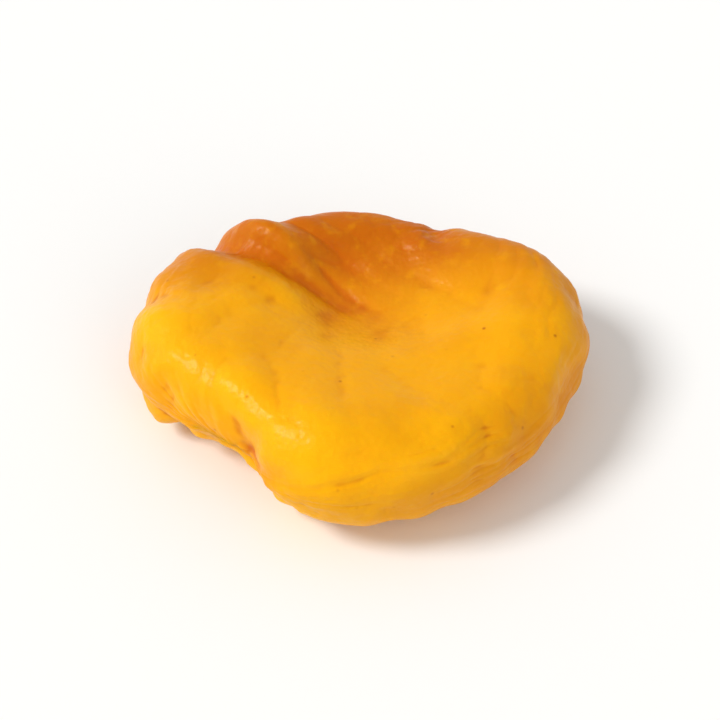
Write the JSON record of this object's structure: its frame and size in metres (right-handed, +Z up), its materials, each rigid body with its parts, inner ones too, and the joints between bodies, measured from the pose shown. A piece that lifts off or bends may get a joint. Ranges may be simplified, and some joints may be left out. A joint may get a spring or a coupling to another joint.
{
  "type": "dried apricot",
  "caption": "Whole pitted dried apricot, pressed flat, with a sunken top behind a deep fold, two lobes and a torn, notched stem end.",
  "frame": {"origin": "middle of the bounding box's underside, on the surface that the fruit rests on", "axes": "+X along the fruit's widest way, +Z up out of the sunken face, with the notched stem end at the front left, towards -X and -Y"},
  "size_m": [0.04, 0.033, 0.0115],
  "materials": {
    "dried_skin": "satin"
  },
  "bodies": {
    "root": {"apricot": "dried_skin"}
  },
  "joints": []
}
